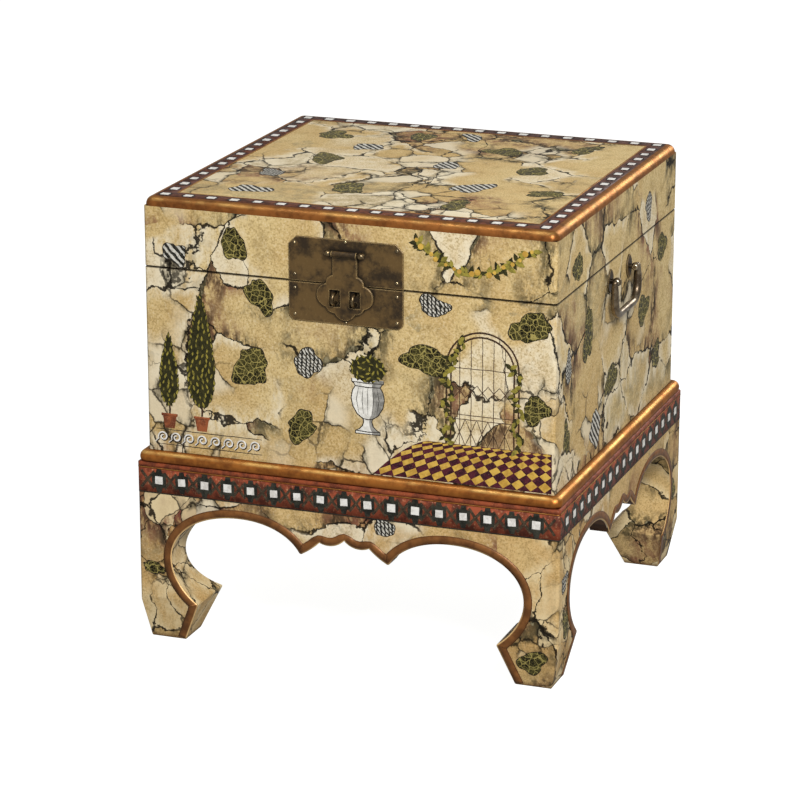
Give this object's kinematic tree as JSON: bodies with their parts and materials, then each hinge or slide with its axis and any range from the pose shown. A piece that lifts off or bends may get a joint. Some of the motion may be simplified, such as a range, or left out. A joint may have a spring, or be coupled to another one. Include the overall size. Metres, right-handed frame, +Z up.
{
  "type": "storage chest",
  "caption": "Square painted storage chest with a hinged lid, hasp lock and drop handles, on a stand with scalloped aprons and hoof feet.",
  "frame": {"origin": "centre of the chest's footprint, on the floor", "axes": "+Z up, -Y towards the front with the lock, +X towards the right-hand handle as seen from the front"},
  "size_m": [0.4906, 0.4715, 0.5],
  "materials": {
    "crackled_paint": "cream crackled plaster paint under satin varnish",
    "plain_wood": "dark stained",
    "copper_paint": "copper-brown paint under gloss varnish",
    "antique_bronze": "dark antique patina",
    "worn_brass": "worn and dull",
    "aged_steel": "aged"
  },
  "bodies": {
    "case": {"case_front_panel": "crackled_paint", "case_back_panel": "crackled_paint", "case_left_panel": "crackled_paint", "case_right_panel": "crackled_paint", "case_bottom_panel": "plain_wood", "front_left_leg": "crackled_paint", "front_right_leg": "crackled_paint", "back_left_leg": "crackled_paint", "back_right_leg": "crackled_paint", "front_apron": "crackled_paint", "back_apron": "crackled_paint", "left_apron": "crackled_paint", "right_apron": "crackled_paint", "base_moulding_front": "copper_paint", "base_moulding_back": "copper_paint", "base_moulding_left": "copper_paint", "base_moulding_right": "copper_paint", "front_cleat": "plain_wood", "back_cleat": "plain_wood", "left_cleat": "plain_wood", "right_cleat": "plain_wood", "cleat_screws": "aged_steel", "lower_lock_plate": "antique_bronze", "lower_plate_pins": "worn_brass", "lock_staples": "antique_bronze", "left_hinge_case_leaf": "aged_steel", "right_hinge_case_leaf": "aged_steel", "left_hinge_pin": "aged_steel", "right_hinge_pin": "aged_steel", "hinge_case_screws": "aged_steel", "left_handle_rosettes": "worn_brass", "left_handle_posts": "worn_brass", "right_handle_rosettes": "worn_brass", "right_handle_posts": "worn_brass"},
    "lid": {"lid_top_panel": "crackled_paint", "lid_front_rail": "crackled_paint", "lid_back_rail": "crackled_paint", "lid_left_rail": "crackled_paint", "lid_right_rail": "crackled_paint", "lid_nosing_front": "copper_paint", "lid_nosing_back": "copper_paint", "lid_nosing_left": "copper_paint", "lid_nosing_right": "copper_paint", "upper_lock_plate": "antique_bronze", "upper_plate_pins": "worn_brass", "hasp_posts": "antique_bronze", "hasp_pin": "antique_bronze", "left_hinge_lid_leaf": "aged_steel", "right_hinge_lid_leaf": "aged_steel", "hinge_lid_screws": "aged_steel"},
    "hasp": {"hasp": "antique_bronze"},
    "left_bail": {"left_handle_bail": "worn_brass"},
    "right_bail": {"right_handle_bail": "worn_brass"}
  },
  "joints": [
    {"name": "lid_hinge", "type": "hinge", "parent": "case", "child": "lid", "pos_m": [0, 0.2279, 0.4235], "axis": [-1, 0, 0], "range_deg": [0, 100]},
    {"name": "hasp_swing", "type": "hinge", "parent": "lid", "child": "hasp", "pos_m": [0, -0.2294, 0.4575], "axis": [-1, 0, 0], "range_deg": [0, 160]},
    {"name": "right_bail_swing", "type": "hinge", "parent": "case", "child": "right_bail", "pos_m": [0.2405, 0, 0.402], "axis": [0, -1, 0], "range_deg": [0, 165]},
    {"name": "left_bail_swing", "type": "hinge", "parent": "case", "child": "left_bail", "pos_m": [-0.2405, 0, 0.402], "axis": [0, 1, 0], "range_deg": [0, 165]}
  ]
}
